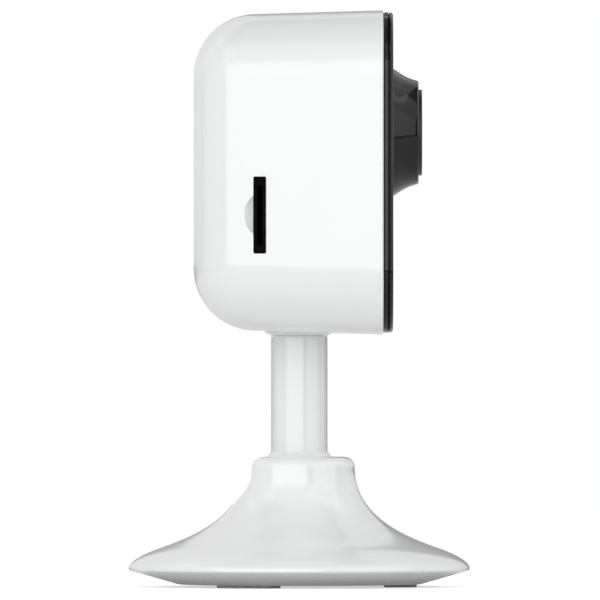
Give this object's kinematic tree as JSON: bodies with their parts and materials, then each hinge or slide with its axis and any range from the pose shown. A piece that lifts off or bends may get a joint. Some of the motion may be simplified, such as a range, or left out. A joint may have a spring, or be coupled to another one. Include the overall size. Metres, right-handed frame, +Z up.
{
  "type": "security camera",
  "caption": "Small indoor security camera: a white cube-shaped head with a black front and flared round lens, on a short stem that tilts in a round trumpet-shaped base.",
  "frame": {"origin": "on the floor, under the axis of the upright stem, at the centre of the round base", "axes": "+Z up along the stem, the lens faces -Y, +X to the camera's right when seen from behind"},
  "size_m": [0.064, 0.064, 0.1079],
  "materials": {
    "white_shell": "gloss",
    "black_gloss": "gloss",
    "black_matte": "matte",
    "grey_plate": "satin",
    "cream_plastic": "matte",
    "circuit_board": "satin",
    "chip": "matte",
    "sensor_die": "gloss",
    "steel": "satin",
    "aluminium": "satin",
    "copper_coil": "gloss",
    "ribbon": "satin",
    "speaker_paper": "matte",
    "rubber": "matte",
    "clear_glass": "clear",
    "filter_glass": "tinted",
    "led_epoxy": "gloss",
    "silicone_pad": "matte"
  },
  "bodies": {
    "base": {"base_shell": "white_shell", "socket_cup": "cream_plastic", "disc_spring": "steel", "cup_retainer": "steel", "retainer_screws": "steel", "ballast_ring": "steel", "base_plate": "grey_plate", "foot_1": "rubber", "foot_2": "rubber", "foot_3": "rubber", "base_screws": "steel"},
    "stem": {"stem": "white_shell", "friction_ring": "black_matte", "stem_washer": "steel", "stem_screw": "steel"},
    "head": {"head_casing": "white_shell", "front_panel": "black_gloss", "front_frame": "black_matte", "case_screws": "steel", "lens_housing": "black_gloss", "lens_trim_ring": "black_matte", "cover_glass": "clear_glass", "lens_baffle": "black_matte", "lens_barrel": "black_matte", "front_lens": "clear_glass", "rear_lens": "clear_glass", "lens_mount": "black_matte", "filter_housing": "black_matte", "filter_coil": "copper_coil", "image_sensor": "sensor_die", "sensor_board": "circuit_board", "sensor_screws": "steel", "board_connector": "cream_plastic", "main_board": "circuit_board", "board_screws": "steel", "processor": "chip", "memory_chip": "chip", "thermal_pad": "silicone_pad", "heat_spreader": "aluminium", "card_socket": "black_matte", "led_board": "circuit_board", "infrared_leds": "led_epoxy", "light_sensor": "led_epoxy", "status_led": "cream_plastic", "light_pipe": "clear_glass", "microphone": "steel", "microphone_boot": "rubber", "speaker": "steel", "speaker_cone": "speaker_paper", "speaker_gasket": "rubber", "port_board": "circuit_board", "port_ribbon": "ribbon", "power_inlet": "steel", "reset_switch": "steel", "antenna": "circuit_board", "antenna_cable": "black_matte"},
    "filter": {"filter_slide": "cream_plastic", "infrared_filter": "filter_glass", "clear_filter": "clear_glass"},
    "button": {"reset_button": "black_matte"}
  },
  "joints": [
    {"name": "stem_tilt", "type": "hinge", "parent": "base", "child": "stem", "pos_m": [0, 0, 0.0206], "axis": [-1, 0, 0], "range_deg": [-8, 75]},
    {"name": "head_pan", "type": "hinge", "parent": "stem", "child": "head", "pos_m": [0, 0, 0.0471], "axis": [0, 0, 1], "continuous": true},
    {"name": "filter_shift", "type": "slide", "parent": "head", "child": "filter", "axis": [-1, 0, 0], "range_m": [0, 0.007]},
    {"name": "reset_press", "type": "slide", "parent": "head", "child": "button", "axis": [0, -1, 0], "range_m": [0, 0.0005], "stiffness_N_per_m": 1500, "springref_m": -0.0001}
  ]
}
